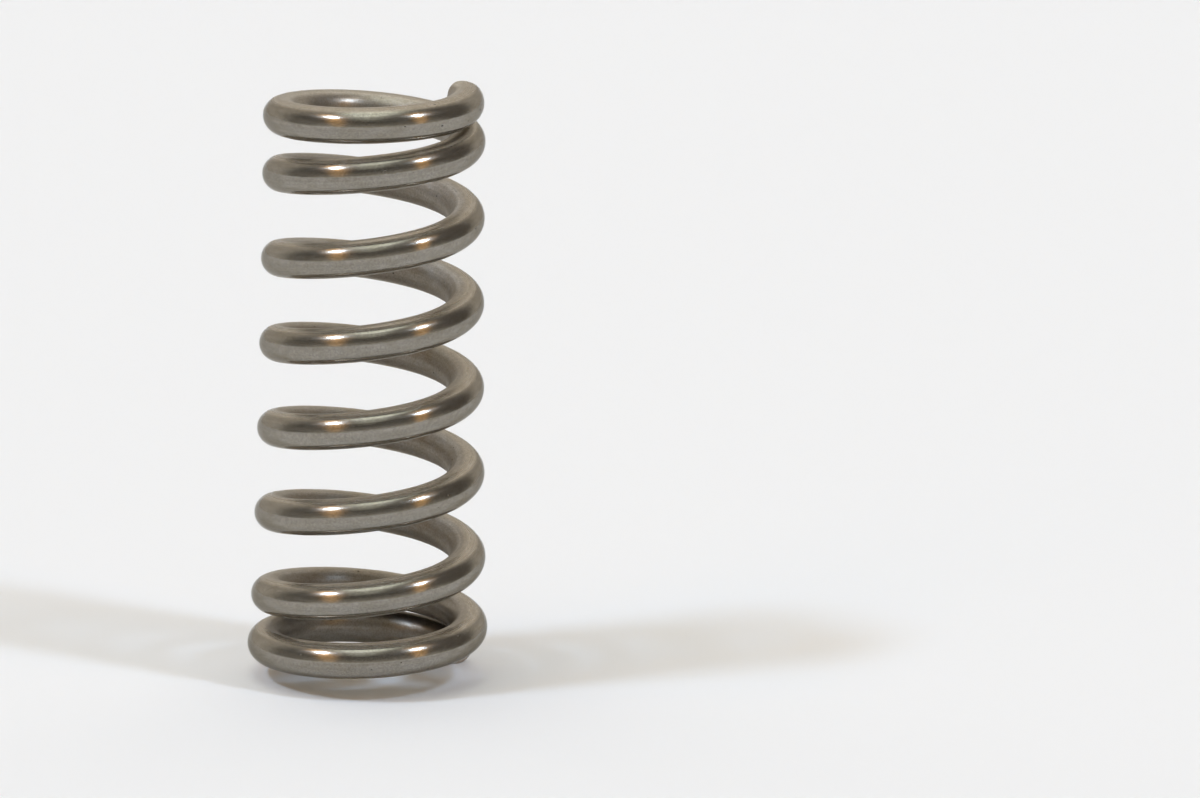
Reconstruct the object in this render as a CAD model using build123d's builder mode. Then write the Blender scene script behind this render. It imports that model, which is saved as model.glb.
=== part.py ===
from build123d import *
import math
import os

# Bar end spring: a right-hand compression spring wound from one round wire, in millimetres.
# It stands on its lower end, with +Z up the coil's axis and z = 0 under the lower tip.

# Driving dimensions
wire_diameter = 3.0
turns = 7.936                # wire wound from the lower tip to the upper tip
lower_mean_diameter = 17.42  # across the wire's centre line, at the lower tip
upper_mean_diameter = 15.41  # the same, in the upper half of the spring
flare_power = 2.5            # how soon the coil narrows on its way up from the lower tip
tip_draw_in = 0.15           # how far the upper tip lies inside its coil's circle
draw_in_turns = 0.5          # length of wire, in turns, over which it is drawn in
active_pitch = 7.198         # rise in one turn, in the open middle coils
lower_end_pitch = 1.436      # rise in one turn with which the lower end coil starts
upper_end_pitch = 1.304      # the same, at the upper end
coil_gap = 0.06              # clearance of an end coil to the next one, before its tip is bent
hug_lift = 0.82              # how far the lower end coil is pressed up towards the next coil
hug_turns = 0.856            # length of wire, in turns, over which that fades
lower_tip_bend = 0.2         # how far the lower tip is bent down, away from the next coil
lower_bend_turns = 0.36      # length of wire, in turns, over which it is bent
upper_tip_bend = 0.15        # how far the upper tip is bent up, away from the next coil
upper_bend_turns = 0.16      # length of wire, in turns, over which it is bent
lower_tip_angle = 30.56      # degrees from +X, counter-clockwise seen from above
tip_chamfer = 0.2            # broken rim of the sheared wire ends
points_per_turn = 16         # how many points of the centre line guide the curve

wire_radius = wire_diameter / 2


def closed_end_rise(turn, end_pitch):
    """Height above the tip, this many turns from it, at an end that closes against the next coil.

    The pitch grows evenly from its value at the tip, so that after one full turn the wire
    has risen by its own thickness and the gap. From there it grows on to the active pitch.
    """
    growth = wire_diameter + coil_gap - end_pitch
    ramp_turns = (active_pitch - end_pitch) / (2 * growth)
    ramped = min(turn, ramp_turns)
    return end_pitch * ramped + growth * ramped**2 + active_pitch * (turn - ramped)


def fade(turn, fade_turns):
    """1 at a tip, easing out to 0 this many turns from it."""
    return max(0.0, 1 - turn / fade_turns) ** 2


def lower_end_rise(turn):
    """Height above the lower tip, this many turns from it.

    The end coil lies closer under the next coil than an evenly closed end would, and only
    its tip is bent down to the plane that the spring stands on.
    """
    hug = hug_lift * fade(turn, hug_turns)
    drop = (hug_lift + lower_tip_bend) * fade(turn, lower_bend_turns)
    return lower_tip_bend + closed_end_rise(turn, lower_end_pitch) + hug - drop


# The wire slopes down to its lower tip, so the lowest point of the end is not quite a wire
# radius under the centre line
hug_slope = 2 * hug_lift / hug_turns
drop_slope = 2 * (hug_lift + lower_tip_bend) / lower_bend_turns
tip_rise = lower_end_pitch - hug_slope + drop_slope
tip_slope = math.atan(tip_rise / (math.pi * lower_mean_diameter))
lower_tip_height = wire_radius * math.cos(tip_slope)

# Closing the upper end takes away some of the height that the active pitch alone would give
upper_closing = active_pitch * turns - closed_end_rise(turns, upper_end_pitch)


def centre_height(turn):
    """Height of the wire's centre, this many turns up from the lower tip."""
    from_top = turns - turn
    closing_above = active_pitch * from_top - closed_end_rise(from_top, upper_end_pitch)
    closing_below = upper_closing - closing_above
    tip_lift = upper_tip_bend * fade(from_top, upper_bend_turns)
    return lower_tip_height + lower_end_rise(turn) - closing_below + tip_lift


def centre_radius(turn):
    """Distance of the wire's centre from the axis, this many turns up from the lower tip."""
    from_top = turns - turn
    flare = (from_top / turns) ** flare_power
    draw_in = max(0.0, 1 - from_top / draw_in_turns) ** 2
    mean_diameter = upper_mean_diameter + (lower_mean_diameter - upper_mean_diameter) * flare
    return mean_diameter / 2 - tip_draw_in * draw_in


def centre_point(turn):
    """Point of the wire's centre line, this many turns up from the lower tip."""
    angle = math.radians(lower_tip_angle + 360 * turn)
    radius = centre_radius(turn)
    return Vector(radius * math.cos(angle), radius * math.sin(angle), centre_height(turn))


# The wire's centre line, from the lower tip to the upper tip
point_count = math.ceil(turns * points_per_turn) + 1
centre_turns = [turns * i / (point_count - 1) for i in range(point_count)]
with BuildLine() as centre_line:
    wire_path = Spline(*[centre_point(turn) for turn in centre_turns])
lower_end = Plane(origin=wire_path @ 0, z_dir=-(wire_path % 0))
upper_end = Plane(origin=wire_path @ 1, z_dir=wire_path % 1)

# The spring: a round section carried along the centre line, about one turn at a time, with
# the rim broken at both ends, where the wire was sheared off
stretch_count = math.ceil(turns)
with BuildPart() as coil_spring:
    for stretch in range(stretch_count):
        with BuildLine() as stretch_line:
            add(wire_path.trim(stretch / stretch_count, (stretch + 1) / stretch_count))
        stretch_path = stretch_line.line
        with BuildSketch(Plane(origin=stretch_path @ 0, z_dir=stretch_path % 0)):
            Circle(wire_radius)
        sweep(path=stretch_path, is_frenet=True, clean=False)
    for end_plane in (lower_end, upper_end):
        with BuildSketch(end_plane):
            Circle(wire_radius)
        extrude(amount=tip_chamfer, taper=45)

swept_volume = math.pi * wire_radius**2 * wire_path.length
print(f"wire length {wire_path.length:.1f} mm, its section times its length {swept_volume:.1f} mm3")
print(f"volume {coil_spring.part.volume:.1f} mm3, valid {coil_spring.part.is_valid}")
box = coil_spring.part.bounding_box()
print(f"free length {box.max.Z:.2f} mm, lowest point at {box.min.Z:.4f} mm")

coil_spring.part.label = "coil_spring"
os.makedirs("parts", exist_ok=True)
export_step(coil_spring.part, "parts/coil_spring.step")
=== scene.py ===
import bpy
import math
from mathutils import Matrix, Vector


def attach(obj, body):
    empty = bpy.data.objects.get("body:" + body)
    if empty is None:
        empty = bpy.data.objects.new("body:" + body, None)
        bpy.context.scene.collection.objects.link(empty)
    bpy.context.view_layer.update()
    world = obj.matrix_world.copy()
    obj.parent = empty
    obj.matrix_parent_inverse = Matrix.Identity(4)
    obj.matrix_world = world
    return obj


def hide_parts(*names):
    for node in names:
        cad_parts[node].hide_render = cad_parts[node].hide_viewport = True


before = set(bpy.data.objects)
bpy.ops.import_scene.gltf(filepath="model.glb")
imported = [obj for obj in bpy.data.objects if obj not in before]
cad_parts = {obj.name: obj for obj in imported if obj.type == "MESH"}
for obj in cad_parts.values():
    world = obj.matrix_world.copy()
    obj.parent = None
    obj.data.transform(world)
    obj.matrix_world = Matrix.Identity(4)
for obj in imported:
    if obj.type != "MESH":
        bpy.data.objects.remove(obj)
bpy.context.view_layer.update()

# The spring's own numbers, the same as in the solid model, but with lengths in metres and radii
# for diameters. It stands on the floor at z = 0, with the coil's axis along +Z.
wire_radius = 0.0015
turns = 7.936                 # wire wound from the lower tip to the upper tip
lower_mean_radius = 0.00871   # from the axis to the wire's centre line, at the lower tip
upper_mean_radius = 0.007705  # the same, in the upper half of the spring
flare_power = 2.5             # how soon the coil narrows on its way up from the lower tip
tip_draw_in = 0.00015         # how far the upper tip lies inside its coil's circle
draw_in_turns = 0.5           # length of wire, in turns, over which it is drawn in
active_pitch = 0.007198       # rise in one turn, in the open middle coils
lower_end_pitch = 0.001436    # rise in one turn with which the lower end coil starts
upper_end_pitch = 0.001304    # the same, at the upper end
coil_gap = 0.00006            # clearance of an end coil to the next one, before its tip is bent
hug_lift = 0.00082            # how far the lower end coil is pressed up towards the next coil
hug_turns = 0.856             # length of wire, in turns, over which that fades
lower_tip_bend = 0.0002       # how far the lower tip is bent down, away from the next coil
lower_bend_turns = 0.36       # length of wire, in turns, over which it is bent
upper_tip_bend = 0.00015      # how far the upper tip is bent up, away from the next coil
upper_bend_turns = 0.16       # length of wire, in turns, over which it is bent
lower_tip_angle = math.radians(30.56)    # from +X, counter-clockwise seen from above

# The wire's mesh
sides = 48                   # faces around the wire
rings_per_turn = 120
rim_steps = 6                # faces across the rounded rim of a sheared tip
face_steps = 9               # faces from that rim to the middle of the cut face
tip_straight = 0.0004        # the last bit of wire before each tip, spanned by one row of faces
frame_step = 0.001           # turns on either side that give the wire's direction at a point
length_steps = 1000          # steps per turn in which the wire's length is measured

# The sheared tips
tip_length = 0.0002          # how far they reach past the ends of the centre line
lower_rim = 0.00007          # rounding of a cut face's rim, on its lower side
upper_rim = 0.0002           # the same on its upper side, where the blade came in
broken_depth = 0.00007       # how far the broken lower part lies under the smooth upper part
broken_grain = 0.00001       # height of the grain in it
burr_height = 0.00005        # height of the burr along the lower rim
squeezed_height = 0.00022    # how far the shear pressed the upper tip out of round
squeezed_length = 0.0010     # length of wire over which it did
squeezed_side = math.radians(125)    # where around the wire: 90 is its top, 180 its inner side
squeezed_power = 6           # the higher, the narrower the pressed place

# The UV map, in which the wire lies in rows, with the two cut faces in a column beside them
bake_rows = 7
row_space = 0.0003           # free space between the rows
row_margin = 1.01            # length kept for a row, over its share of the wire
tip_column = 0.0040          # width of the column


def closed_end_rise(turn, end_pitch):
    """Height above the tip, this many turns from it, at an end that closes against the next coil.

    The pitch grows evenly from its value at the tip, so that after one full turn the wire
    has risen by its own thickness and the gap. From there it grows on to the active pitch.
    """
    growth = 2 * wire_radius + coil_gap - end_pitch
    ramp_turns = (active_pitch - end_pitch) / (2 * growth)
    ramped = min(turn, ramp_turns)
    return end_pitch * ramped + growth * ramped**2 + active_pitch * (turn - ramped)


def fade(turn, fade_turns):
    """1 at a tip, easing out to 0 this many turns from it."""
    return max(0.0, 1 - turn / fade_turns) ** 2


def lower_end_rise(turn):
    """Height above the lower tip, this many turns from it.

    The end coil lies closer under the next coil than an evenly closed end would, and only
    its tip is bent down to the plane that the spring stands on.
    """
    hug = hug_lift * fade(turn, hug_turns)
    drop = (hug_lift + lower_tip_bend) * fade(turn, lower_bend_turns)
    return lower_tip_bend + closed_end_rise(turn, lower_end_pitch) + hug - drop


# The wire slopes down to its lower tip, so the lowest point of the end is not quite a wire
# radius under the centre line
hug_slope = 2 * hug_lift / hug_turns
drop_slope = 2 * (hug_lift + lower_tip_bend) / lower_bend_turns
tip_rise = lower_end_pitch - hug_slope + drop_slope
tip_slope = math.atan(tip_rise / (2 * math.pi * lower_mean_radius))
lower_tip_height = wire_radius * math.cos(tip_slope)

# Closing the upper end takes away some of the height that the active pitch alone would give
upper_closing = active_pitch * turns - closed_end_rise(turns, upper_end_pitch)


def centre_point(turn):
    """Point of the wire's centre line, this many turns up from the lower tip."""
    from_top = turns - turn
    closing_above = active_pitch * from_top - closed_end_rise(from_top, upper_end_pitch)
    closing_below = upper_closing - closing_above
    tip_lift = upper_tip_bend * fade(from_top, upper_bend_turns)
    height = lower_tip_height + lower_end_rise(turn) - closing_below + tip_lift
    flare = (from_top / turns) ** flare_power
    radius = upper_mean_radius + (lower_mean_radius - upper_mean_radius) * flare
    radius -= tip_draw_in * fade(from_top, draw_in_turns)
    angle = lower_tip_angle + 2 * math.pi * turn
    return Vector((radius * math.cos(angle), radius * math.sin(angle), height))


def wire_frame(turn):
    """Centre, outward, upward and forward directions of the wire at this turn."""
    before = centre_point(max(turn - frame_step, 0))
    after = centre_point(min(turn + frame_step, turns))
    centre = centre_point(turn)
    forward = (after - before).normalized()
    outward = Vector((centre.x, centre.y, 0))
    outward = (outward - forward * outward.dot(forward)).normalized()
    upward = forward.cross(outward)
    if upward.z < 0:
        upward = -upward
    return centre, outward, upward, forward


def smooth(value, low, high):
    """0 below low, 1 above high, and an even S between them."""
    share = min(max((value - low) / (high - low), 0.0), 1.0)
    return share * share * (3 - 2 * share)


def cut_relief(across, up):
    """Height of the sheared face at a place in the wire's section, from its smooth upper part.

    The blade came from above: the upper part is wiped smooth, and the lower part broke away,
    which leaves a ragged step and a small burr along the lower rim. Where these begin and end
    is given in wire radii.
    """
    side, entry = across / wire_radius, up / wire_radius
    ragged = 0.05 * math.sin(7 * side + 1.0) + 0.03 * math.sin(17 * side)
    broken = smooth(-entry, 0.05 + ragged, 0.30 + ragged)
    grain = math.sin(31 * side + 3 * entry) * math.sin(23 * entry - 5 * side)
    burr = smooth(-entry, 0.80, 0.98)
    return broken_grain * grain * broken - broken_depth * broken + burr_height * burr


def rim_radius(up):
    """Radius of the cut face's rim, which the blade rolled over where it came in."""
    return lower_rim + (upper_rim - lower_rim) * smooth(up / wire_radius, -0.2, 1.0)


def squeeze(from_end, angle):
    """How far the shear pressed the upper tip out of round, on its inner upper side."""
    near_end = 1 - smooth(from_end, 0.0, squeezed_length)
    facing = max(0.0, math.cos(angle - squeezed_side))
    return squeezed_height * near_end * facing**squeezed_power


# Length of the wire along its centre line
wire_length = 0.0
for step in range(1, math.ceil(turns * length_steps) + 1):
    here = centre_point(min(step / length_steps, turns))
    wire_length += (here - centre_point((step - 1) / length_steps)).length


def tip_rings(turn, sign):
    """Rings of (point, place in the straight wire, cut share) on a sheared tip, and its middle."""
    centre, outward, upward, forward = wire_frame(turn)
    end_length = 0.0 if sign < 0 else wire_length

    def tip_vertex(across, up, drop, cut):
        reach = sign * (tip_length - drop + cut_relief(across, up) * cut)
        point = centre + outward * across + upward * up + forward * reach
        return point, (end_length + reach, across, up), cut

    rings = []
    for step in range(rim_steps + face_steps):
        turned = math.pi / 2 * min(1.0, step / rim_steps)
        inward = max(0.0, (step - rim_steps) / face_steps)
        cut = min(1.0, step / rim_steps)
        ring = []
        for side in range(sides):
            angle = 2 * math.pi * side / sides
            rim = rim_radius(wire_radius * math.sin(angle))
            full_radius = wire_radius + (squeeze(0, angle) if sign > 0 else 0)
            radius = (full_radius - rim * (1 - math.cos(turned))) * (1 - inward)
            drop = rim * (1 - math.sin(turned))
            ring.append(tip_vertex(radius * math.cos(angle), radius * math.sin(angle), drop, cut))
        rings.append(ring)
    return rings, tip_vertex(0.0, 0.0, 0.0, 1.0)


def plain_rings():
    """Rings of the round wire between the two tips."""
    trim_turns = tip_straight / wire_length * turns
    count = round(turns * rings_per_turn)
    rings = []
    for index in range(count + 1):
        turn = trim_turns + (turns - 2 * trim_turns) * index / count
        centre, outward, upward, _ = wire_frame(turn)
        along = wire_length * turn / turns
        ring = []
        for side in range(sides):
            angle = 2 * math.pi * side / sides
            radius = wire_radius + squeeze(wire_length - along, angle)
            across, up = radius * math.cos(angle), radius * math.sin(angle)
            ring.append((centre + outward * across + upward * up, (along, across, up), 0.0))
        rings.append(ring)
    return rings


def build_wire():
    """The wound wire as one closed mesh, from the lower cut face to the upper one."""
    lower, lower_middle = tip_rings(0, -1)
    upper, upper_middle = tip_rings(turns, 1)
    rings = lower[::-1] + plain_rings() + upper
    last_ring = len(rings) - 1
    vertices = [vertex for ring in rings for vertex in ring] + [lower_middle, upper_middle]

    around = 2 * math.pi * wire_radius
    row_height = around + row_space
    rows_start = len(lower) - rim_steps - 1
    rows_end = last_ring - rows_start
    row_rings = math.ceil((rows_end - rows_start) / bake_rows)
    row_length = wire_length / bake_rows * row_margin
    map_size = max(row_length + tip_column, bake_rows * row_height)

    def side_map(ring, side, row):
        """Place in the UV map of a point on the wire's side, which lies there in rows."""
        along = (ring - rows_start - row * row_rings) * row_length / row_rings
        return along / map_size, (side * around / sides + row * row_height) / map_size

    def cut_map(vertex, middle):
        """Place in the UV map of a point on a cut face, around this height in their column."""
        _, place, _ = vertices[vertex]
        return (row_length + tip_column / 2 + place[1]) / map_size, (middle + place[2]) / map_size

    faces, maps = [], []
    lower_height, upper_height = tip_column / 2, tip_column * 1.5
    for side in range(sides):
        following = (side + 1) % sides
        lower_fan = (len(vertices) - 2, side, following)
        upper_fan = (len(vertices) - 1, last_ring * sides + following, last_ring * sides + side)
        for fan, height in ((lower_fan, lower_height), (upper_fan, upper_height)):
            faces.append(fan)
            maps.extend(cut_map(vertex, height) for vertex in fan)
    for ring in range(last_ring):
        row = (ring - rows_start) // row_rings
        for side in range(sides):
            corners = [(ring, side), (ring + 1, side), (ring + 1, side + 1), (ring, side + 1)]
            face = [at_ring * sides + at_side % sides for at_ring, at_side in corners]
            faces.append(face)
            if rows_start <= ring < rows_end:
                maps.extend(side_map(at_ring, at_side, row) for at_ring, at_side in corners)
            else:
                height = lower_height if ring < rows_start else upper_height
                maps.extend(cut_map(vertex, height) for vertex in face)

    mesh = bpy.data.meshes.new("wound_wire")
    mesh.from_pydata([point for point, _, _ in vertices], [], faces)
    layer = mesh.uv_layers.new(name="OFBake")
    layer.data.foreach_set("uv", [number for pair in maps for number in pair])
    straight = mesh.attributes.new("straight_wire", "FLOAT_VECTOR", "POINT")
    straight.data.foreach_set("vector", [number for _, place, _ in vertices for number in place])
    cut_share = mesh.attributes.new("cut_share", "FLOAT", "POINT")
    cut_share.data.foreach_set("value", [max(0.0, cut * 2 - 1) for _, _, cut in vertices])
    mesh.shade_smooth()
    return mesh


wire_mesh = build_wire()
wire_piece = bpy.data.objects.new("wound_wire", wire_mesh)
bpy.context.scene.collection.objects.link(wire_piece)
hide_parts("coil_spring")
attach(wire_piece, "root")


def add_node(tree, kind, inputs=(), **settings):
    """Adds a shader node. An input's value is a number, a colour, or a socket to link to it."""
    node = tree.nodes.new(kind)
    for name, value in settings.items():
        setattr(node, name, value)
    for name, value in dict(inputs).items():
        if isinstance(value, bpy.types.NodeSocket):
            tree.links.new(value, node.inputs[name])
        else:
            node.inputs[name].default_value = value
    return node


def math_node(tree, operation, *values):
    """A sum, product or the like of numbers and sockets."""
    return add_node(tree, "ShaderNodeMath", enumerate(values), operation=operation).outputs[0]


def weighted_sum(tree, start, *terms):
    """A start value plus each term's socket times its weight."""
    result = start
    for socket, weight in terms:
        result = math_node(tree, "ADD", result, math_node(tree, "MULTIPLY", socket, weight))
    return result


def vector_product(tree, first, second):
    """Two vectors multiplied axis by axis."""
    inputs = {0: first, 1: second}
    return add_node(tree, "ShaderNodeVectorMath", inputs, operation="MULTIPLY").outputs[0]


def map_range(tree, value, low, high, to_low=0.0, to_high=1.0, steps="LINEAR"):
    """Turns a value between low and high into one between to_low and to_high."""
    inputs = {"Value": value, "From Min": low, "From Max": high, "To Min": to_low, "To Max": to_high}
    node = add_node(tree, "ShaderNodeMapRange", inputs, interpolation_type=steps)
    return node.outputs["Result"]


def smooth_mask(tree, value, low, high):
    """0 on the low side, 1 on the high side, and an even S between them."""
    return map_range(tree, value, low, high, steps="SMOOTHSTEP")


def mix_colour(tree, share, first, second, blend="MIX"):
    """Mixes two colours. The numbers are the places of a colour mix's sockets on its node."""
    inputs = {0: share, 6: first, 7: second}
    node = add_node(tree, "ShaderNodeMix", inputs, data_type="RGBA", blend_type=blend)
    return node.outputs[2]


def noise(tree, place, stretch, detail=2.0):
    """Noise that has stretch[i] features per metre along each direction of the straight wire."""
    scaled = vector_product(tree, place, stretch)
    inputs = {"Vector": scaled, "Scale": 1.0, "Detail": detail, "Roughness": 0.5}
    return add_node(tree, "ShaderNodeTexNoise", inputs).outputs["Fac"]


def mesh_attribute(tree, name, output):
    """A value that the mesh carries at its points."""
    node = add_node(tree, "ShaderNodeAttribute", attribute_type="GEOMETRY", attribute_name=name)
    return node.outputs[output]


def pit_mask(tree, place):
    """1 in the pits: dots around the points of a cell pattern, kept in only some of the cells."""
    cells_per_metre = (1000, 1500, 1500)
    kept_from = 0.75         # a cell whose random number is lower has no pit
    largest_pit = 0.15       # radius, in cells
    scaled = vector_product(tree, place, cells_per_metre)
    cells = add_node(tree, "ShaderNodeTexVoronoi", {"Vector": scaled, "Scale": 1.0})
    cell_colour = add_node(tree, "ShaderNodeSeparateColor", {"Color": cells.outputs["Color"]})
    pit_size = map_range(tree, cell_colour.outputs["Red"], kept_from, 1.0, 0.0, largest_pit)
    inside = math_node(tree, "SUBTRACT", pit_size, cells.outputs["Distance"])

    # A pit's edge takes up half of its radius, and is kept above 0 where a cell has no pit
    edge_width = math_node(tree, "ADD", math_node(tree, "MULTIPLY", pit_size, 0.5), 0.001)
    return map_range(tree, math_node(tree, "DIVIDE", inside, edge_width), 0, 1)


def inner_and_painted_light_masks(tree, along, across, up):
    """Masks of the inner side, the strips of painted light and the painted shade, and the inner
    side's roughness.
    """
    # The side that faces the coil's axis ran over the winding mandrel and is duller. The end
    # coils weren't pulled open over it, and are smoother there than the open ones.
    inner = smooth_mask(tree, across, 0.1 * wire_radius, -0.4 * wire_radius)
    one_turn = 2 * math.pi * lower_mean_radius
    closed_until = 0.9 * one_turn
    open_from = closed_until + 0.010
    past_lower_end = smooth_mask(tree, along, closed_until, open_from)
    from_upper_tip = math_node(tree, "SUBTRACT", wire_length, along)
    before_upper_end = smooth_mask(tree, from_upper_tip, closed_until, open_from)
    open_coils = math_node(tree, "MULTIPLY", past_lower_end, before_upper_end)
    inner_roughness = map_range(tree, open_coils, 0, 1, 0.15, 0.36)

    # Painted light: the top and bottom of the wire are painted brighter, to fill in the dark
    # reflection of the neighbouring coils there. The lower tip is bent away from its neighbour and
    # isn't.
    level = math_node(tree, "ABSOLUTE", up)
    painted_light_strips = smooth_mask(tree, level, 0.76 * wire_radius, 0.92 * wire_radius)
    bent_length = lower_bend_turns * one_turn
    past_bend = smooth_mask(tree, along, 0.5 * bent_length, bent_length)
    painted_light_strips = math_node(tree, "MULTIPLY", painted_light_strips, past_bend)

    # Painted shade: the top of the lower tip is painted dark, in the narrow gap under the next coil
    top_side = smooth_mask(tree, up, 0.50 * wire_radius, 0.80 * wire_radius)
    before_bend = math_node(tree, "SUBTRACT", 1.0, past_bend)
    painted_gap_shade = math_node(tree, "MULTIPLY", top_side, before_bend)
    return inner, painted_light_strips, painted_gap_shade, inner_roughness


def drawn_steel():
    """Satin drawn steel wire: fine lines along the wire, grain, a few pits, and dull cut faces."""
    material = bpy.data.materials.new("drawn_steel_wire")
    material.use_nodes = True
    tree = material.node_tree
    tree.nodes.clear()
    place = mesh_attribute(tree, "straight_wire", "Vector")
    cut = mesh_attribute(tree, "cut_share", "Fac")

    draw_lines = noise(tree, place, (50, 5000, 5000), detail=3.0)
    fine_lines = noise(tree, place, (300, 12000, 12000))
    grain = noise(tree, place, (7000, 7000, 7000))
    cloud = noise(tree, place, (160, 500, 500), detail=3.0)
    mottle = noise(tree, place, (1200, 2400, 2400))
    pits = pit_mask(tree, place)
    along, across, up = add_node(tree, "ShaderNodeSeparateXYZ", {0: place}).outputs
    inner, painted_light_strips, painted_gap_shade, inner_roughness = inner_and_painted_light_masks(tree, along, across, up)

    # Colour
    clean = (0.290, 0.273, 0.240, 1)
    tinted = (0.270, 0.250, 0.213, 1)
    inner_colour = (0.325, 0.295, 0.252, 1)
    # Painted light: the brighter colour of the strips along the wire's top and bottom
    painted_light_colour = (0.510, 0.475, 0.415, 1)
    # Painted shade: the near black on the top of the lower tip, in the gap under the next coil
    painted_gap_shade_colour = (0.06, 0.055, 0.05, 1)
    cool_stain = (1.05, 1.05, 1.06, 1)
    warm_stain = (0.95, 0.935, 0.90, 1)
    pit_colour = (0.03, 0.025, 0.02, 1)
    cut_colour = (0.42, 0.39, 0.35, 1)
    colour = mix_colour(tree, map_range(tree, cloud, 0.35, 0.70), clean, tinted)
    colour = mix_colour(tree, inner, colour, inner_colour)
    # Painted light on the wire's top and bottom strips
    colour = mix_colour(tree, painted_light_strips, colour, painted_light_colour)
    # Painted shade on the top of the lower tip, under the next coil
    colour = mix_colour(tree, math_node(tree, "MULTIPLY", painted_gap_shade, 0.75), colour, painted_gap_shade_colour)
    stain = mix_colour(tree, map_range(tree, mottle, 0.35, 0.65), cool_stain, warm_stain)
    line_shade = map_range(tree, draw_lines, 0.30, 0.70, 0.92, 1.07)
    grain_shade = map_range(tree, grain, 0.25, 0.75, 0.80, 1.20)
    for shade in (stain, line_shade, grain_shade):
        colour = mix_colour(tree, 1.0, colour, shade, "MULTIPLY")
    colour = mix_colour(tree, math_node(tree, "MULTIPLY", pits, 0.75), colour, pit_colour)
    colour = mix_colour(tree, math_node(tree, "MULTIPLY", cut, 0.8), colour, cut_colour)

    # Roughness, metal and bump
    cloud_roughness = map_range(tree, cloud, 0.3, 0.7, 0.15, 0.21)
    line_roughness = map_range(tree, fine_lines, 0.3, 0.7, -0.03, 0.03)
    rough = math_node(tree, "ADD", cloud_roughness, line_roughness)
    added_roughness = ((inner, inner_roughness), (painted_light_strips, 0.10), (pits, 0.3), (cut, 0.28))
    rough = weighted_sum(tree, rough, *added_roughness)
    metallic = map_range(tree, inner, 0.0, 1.0, 0.88, 0.72)
    height = weighted_sum(tree, draw_lines, (fine_lines, 0.4), (grain, 0.5), (pits, -6.0))
    height_scale = 0.0000030     # metres for a height of 1
    bump_inputs = {"Height": height, "Strength": 1.0, "Distance": height_scale}
    bump = add_node(tree, "ShaderNodeBump", bump_inputs).outputs["Normal"]

    shader = add_node(tree, "ShaderNodeBsdfPrincipled", {
        "Base Color": colour,
        "Metallic": metallic,
        "Roughness": rough,
        "Normal": bump,
        "Specular Tint": (0.55, 0.53, 0.50, 1),
    })
    add_node(tree, "ShaderNodeOutputMaterial", {"Surface": shader.outputs[0]})
    return material


wire_mesh.materials.append(drawn_steel())

# The floor: a plain pale disc that reaches past what any view shows
floor_radius = 8.0
floor_corners = 64
floor_colour = (0.894, 0.896, 0.900, 1)
floor_roughness = 0.9
floor_rim = [2 * math.pi * corner / floor_corners for corner in range(floor_corners)]
floor_mesh = bpy.data.meshes.new("floor")
floor_mesh.from_pydata(
    [(floor_radius * math.cos(angle), floor_radius * math.sin(angle), 0) for angle in floor_rim],
    [],
    [tuple(range(floor_corners))],
)
floor = bpy.data.objects.new("floor", floor_mesh)
bpy.context.scene.collection.objects.link(floor)
floor_material = bpy.data.materials.new("pale_floor")
floor_material.use_nodes = True
floor_shader = floor_material.node_tree.nodes["Principled BSDF"]
floor_shader.inputs["Base Color"].default_value = floor_colour
floor_shader.inputs["Roughness"].default_value = floor_roughness
floor_shader.inputs["Specular IOR Level"].default_value = 0.0
floor_mesh.materials.append(floor_material)

# The room's light in front of the spring and behind it: elevation in degrees, and colour
front_light = (
    (0, (0.74, 0.70, 0.62)),
    (3, (0.58, 0.54, 0.48)),
    (8, (0.37, 0.35, 0.31)),
    (14, (0.26, 0.245, 0.22)),
    (20, (0.18, 0.17, 0.14)),
    (27, (0.12, 0.11, 0.09)),
    (38, (0.12, 0.11, 0.09)),
    (48, (0.18, 0.17, 0.14)),
    (60, (0.30, 0.29, 0.26)),
    (90, (0.50, 0.50, 0.42)),
)
back_light = (
    (0, (0.78, 0.74, 0.68)),
    (6, (0.84, 0.79, 0.73)),
    (15, (0.83, 0.78, 0.71)),
    (25, (0.78, 0.72, 0.64)),
    (35, (0.74, 0.68, 0.60)),
    (55, (0.78, 0.70, 0.60)),
    (75, (0.68, 0.64, 0.54)),
    (90, (0.50, 0.50, 0.42)),
)

# Soft spots in that light, on a chart of the sky in degrees from the zenith: first to the right,
# then towards the camera. MIX puts a spot in the light's place and ADD adds it. Then follow its
# centre, its half size, how far it is turned, the softness of its edge and its colour.
lamp_light = (32.6, 46.0, 63.5)
sky_spots = (
    # Dark places at the right and the left
    ("MIX", (60, -9), (36, 31), 0, 0.45, (0.13, 0.11, 0.09)),
    ("MIX", (-82, 8), (15, 28), 0, 0.50, (0.24, 0.22, 0.195)),
    # Soft light overhead
    ("ADD", (-5, 3), (17.5, 19), 0, 0.35, (1.28, 1.38, 1.32)),
    ("ADD", (-7, 27), (14, 19), 0, 0.60, (0.52, 0.55, 0.50)),
    # The left lamp, with its warm glow
    ("ADD", (-35, 15), (3.0, 6.0), 10, 0.35, lamp_light),
    ("ADD", (-35, 14), (4.8, 17), 10, 0.45, (3.40, 1.90, 0.55)),
    ("ADD", (-36, 20), (12, 26), 10, 0.45, (0.55, 0.33, 0.17)),
    ("ADD", (-46, 50), (10, 24), 16, 0.50, (0.70, 0.40, 0.14)),
    # The right lamp, with its warm glow
    ("ADD", (34.5, 22), (3.2, 4.6), -35, 0.35, lamp_light),
    ("ADD", (34.5, 21.5), (4.4, 13), -35, 0.45, (3.00, 1.60, 0.40)),
    ("ADD", (34, 18), (11, 19), -35, 0.45, (0.55, 0.33, 0.12)),
    ("ADD", (53, 43), (8.5, 22), -45, 0.50, (0.95, 0.53, 0.17)),
)


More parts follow.
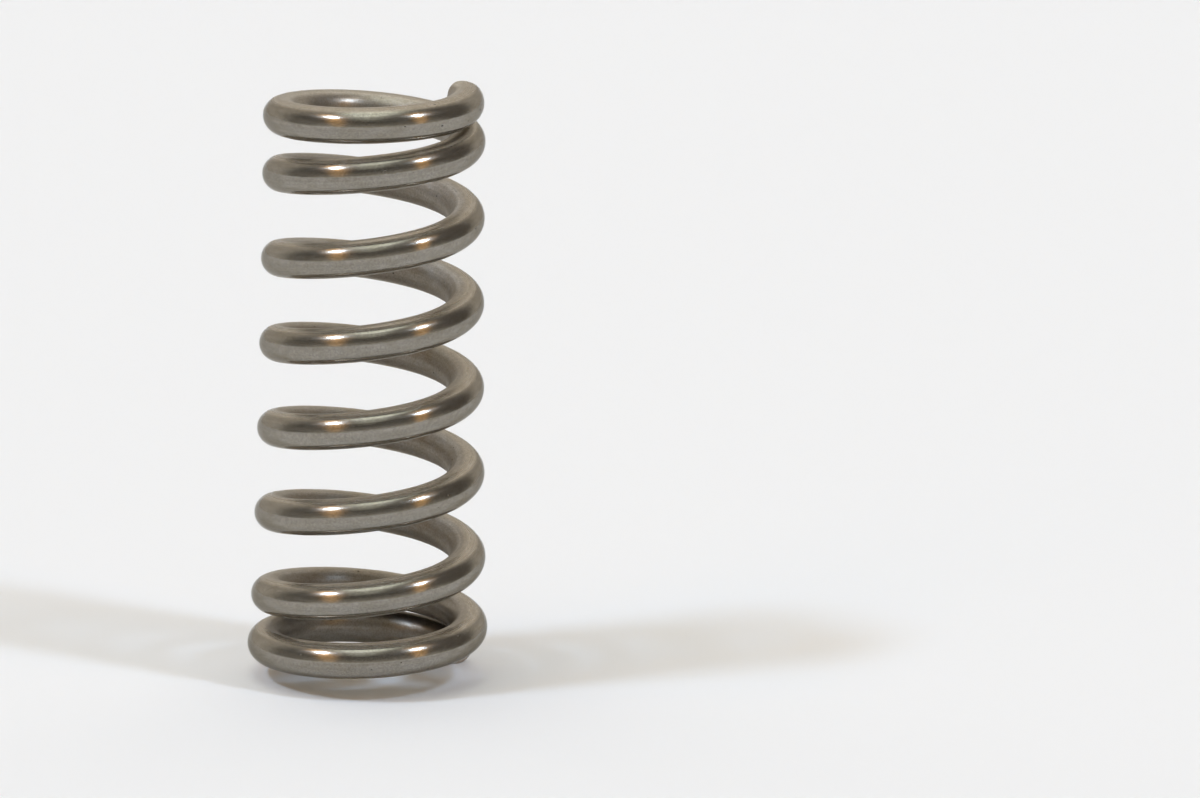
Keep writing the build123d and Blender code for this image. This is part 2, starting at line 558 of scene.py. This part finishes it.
def ramp(tree, value, stops):
    """Colour over elevation. A stop is an elevation in degrees and a colour."""
    node = add_node(tree, "ShaderNodeValToRGB", {"Fac": math_node(tree, "DIVIDE", value, 90.0)})
    elements = node.color_ramp.elements
    while len(elements) > 1:
        elements.remove(elements[-1])
    for index, (elevation, colour) in enumerate(stops):
        element = elements[0] if index == 0 else elements.new(elevation / 90)
        element.position = elevation / 90
        element.color = (*colour, 1)
    return node.outputs["Color"]


def studio_world():
    """The room around the spring: two soft lamps and a soft light overhead, dark front and sides."""
    world = bpy.data.worlds.new("studio")
    world.use_nodes = True
    tree = world.node_tree
    tree.nodes.clear()
    coordinates = add_node(tree, "ShaderNodeTexCoord").outputs["Generated"]
    view = add_node(tree, "ShaderNodeVectorMath", {0: coordinates}, operation="NORMALIZE").outputs[0]
    to_right, away, up = add_node(tree, "ShaderNodeSeparateXYZ", {0: view}).outputs

    # Length of the direction's flat part, kept above 0 at the zenith
    flat = math_node(tree, "SUBTRACT", 1.0, math_node(tree, "POWER", up, 2.0))
    flat = math_node(tree, "MAXIMUM", math_node(tree, "SQRT", flat), 0.001)
    zenith_angle = math_node(tree, "ARCCOSINE", up)
    from_zenith = math_node(tree, "MULTIPLY", zenith_angle, 180 / math.pi)
    elevation = math_node(tree, "SUBTRACT", 90.0, from_zenith)

    # The front light turns into the back light over the sides of the room
    back_share = smooth_mask(tree, math_node(tree, "DIVIDE", away, flat), 0.05, 0.75)
    front = ramp(tree, elevation, front_light)
    back = ramp(tree, elevation, back_light)
    colour = mix_colour(tree, back_share, front, back)

    # The chart of the sky, and the spots on it
    spread = math_node(tree, "DIVIDE", from_zenith, flat)
    towards = math_node(tree, "MULTIPLY", away, -1.0)
    chart = add_node(tree, "ShaderNodeCombineXYZ", {
        0: math_node(tree, "MULTIPLY", to_right, spread),
        1: math_node(tree, "MULTIPLY", towards, spread),
    }).outputs[0]
    for blend, centre, half_size, turned, softness, light in sky_spots:
        inside = add_node(tree, "ShaderNodeMapping", {
            "Vector": chart,
            "Location": (*centre, 0),
            "Rotation": (0, 0, math.radians(turned)),
            "Scale": (*half_size, 1),
        }, vector_type="TEXTURE").outputs[0]
        reach = add_node(tree, "ShaderNodeVectorMath", {0: inside}, operation="LENGTH")
        share = smooth_mask(tree, reach.outputs["Value"], 1 + softness, 1 - softness)
        colour = mix_colour(tree, share, colour, (*light, 1), blend)
    background = add_node(tree, "ShaderNodeBackground", {"Color": colour, "Strength": 1.0})
    add_node(tree, "ShaderNodeOutputWorld", {"Surface": background.outputs[0]})
    return world


bpy.context.scene.world = studio_world()

# The camera, at the photograph's viewing angle
sensor_width = 36.0                  # millimetres
focal_length = 285.0                 # millimetres
camera_distance = 0.78955
camera_elevation = math.radians(12.335)
camera_roll = math.radians(0.986)
orbit_centre = Vector((0, 0, 0.02518))
aim_point = Vector((0.019035, 0, 0.023905))

lens = bpy.data.cameras.new("camera")
lens.sensor_width = sensor_width
lens.lens = focal_length
camera = bpy.data.objects.new("camera", lens)
bpy.context.scene.collection.objects.link(camera)
towards_camera = Vector((0, -math.cos(camera_elevation), math.sin(camera_elevation)))
position = orbit_centre + towards_camera * camera_distance
forward = (aim_point - position).normalized()
level_right = forward.cross(Vector((0, 0, 1))).normalized()
level_up = level_right.cross(forward)
right = level_right * math.cos(camera_roll) + level_up * math.sin(camera_roll)
up = level_up * math.cos(camera_roll) - level_right * math.sin(camera_roll)
turned = Matrix((right, up, -forward)).transposed().to_4x4()
camera.matrix_world = Matrix.Translation(position) @ turned
bpy.context.scene.camera = camera

bpy.context.scene.view_settings.view_transform = "Standard"
